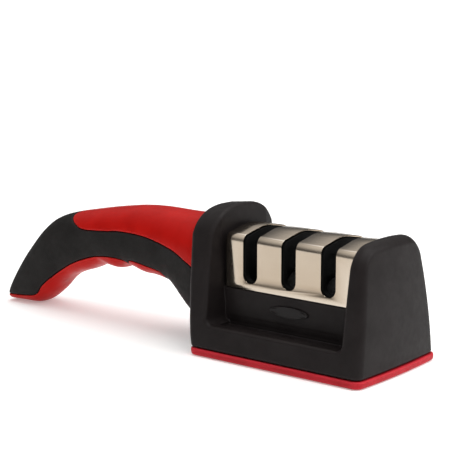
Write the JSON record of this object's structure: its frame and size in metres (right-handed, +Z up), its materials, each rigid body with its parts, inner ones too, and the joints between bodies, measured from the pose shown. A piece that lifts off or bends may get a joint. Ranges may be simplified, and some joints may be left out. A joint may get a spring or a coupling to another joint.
{
  "type": "knife sharpener",
  "caption": "Hand-held kitchen knife sharpener: an arched two-tone handle, a weighted body and a slotted steel cover over carbide, diamond and ceramic stages.",
  "frame": {"origin": "middle of the underside of the whole object's box, on the surface it stands on", "axes": "+X along the object from the handle's tail to the far end of the body, +Y across it along the knife's pull, +Z up"},
  "size_m": [0.21, 0.0568, 0.0597],
  "materials": {
    "body_plastic": "satin black moulded ABS with a very fine texture",
    "pad_rubber": "red rubber, satin",
    "inner_plastic": "plain black moulding",
    "cover_steel": "fine brushed stainless sheet",
    "pin_steel": "plain steel fasteners and pins",
    "carbide": "ground tungsten carbide",
    "diamond_grit": "diamond grit on steel, rough",
    "ceramic": "fine dark grey ceramic, rough",
    "grip_rubber": "soft black overmould with a fine grain",
    "handle_red": "red, semi-gloss, slightly soft",
    "badge_plastic": "blank oval plate"
  },
  "bodies": {
    "sharpener_body": {"body_shell": "body_plastic", "base_pad": "pad_rubber", "base_plate": "inner_plastic", "base_screw_1": "pin_steel", "base_screw_2": "pin_steel", "base_screw_3": "pin_steel", "base_screw_4": "pin_steel", "steel_cover": "cover_steel", "cartridge_cover": "inner_plastic", "cartridge_cradle": "inner_plastic", "carbide_holder": "inner_plastic", "carbide_blade_front": "carbide", "carbide_blade_rear": "carbide", "carbide_clamp_screw": "pin_steel", "medium_axle": "pin_steel", "fine_axle": "pin_steel", "handle_core": "inner_plastic", "handle_grip": "grip_rubber", "handle_top_insert": "handle_red", "finger_rail_long": "handle_red", "finger_rail_short": "handle_red", "handle_screw_front": "pin_steel", "handle_screw_rear": "pin_steel", "front_badge": "badge_plastic"},
    "medium_wheel": {"medium_hub": "inner_plastic", "medium_disc_left": "diamond_grit", "medium_disc_right": "diamond_grit"},
    "fine_wheel": {"fine_hub": "inner_plastic", "fine_disc_left": "ceramic", "fine_disc_right": "ceramic"}
  },
  "joints": [
    {"name": "medium_wheel_spin", "type": "hinge", "parent": "sharpener_body", "child": "medium_wheel", "pos_m": [0.0615, 0, 0.0256], "axis": [1, 0, 0], "continuous": true},
    {"name": "fine_wheel_spin", "type": "hinge", "parent": "sharpener_body", "child": "fine_wheel", "pos_m": [0.0805, 0, 0.0256], "axis": [1, 0, 0], "continuous": true}
  ]
}
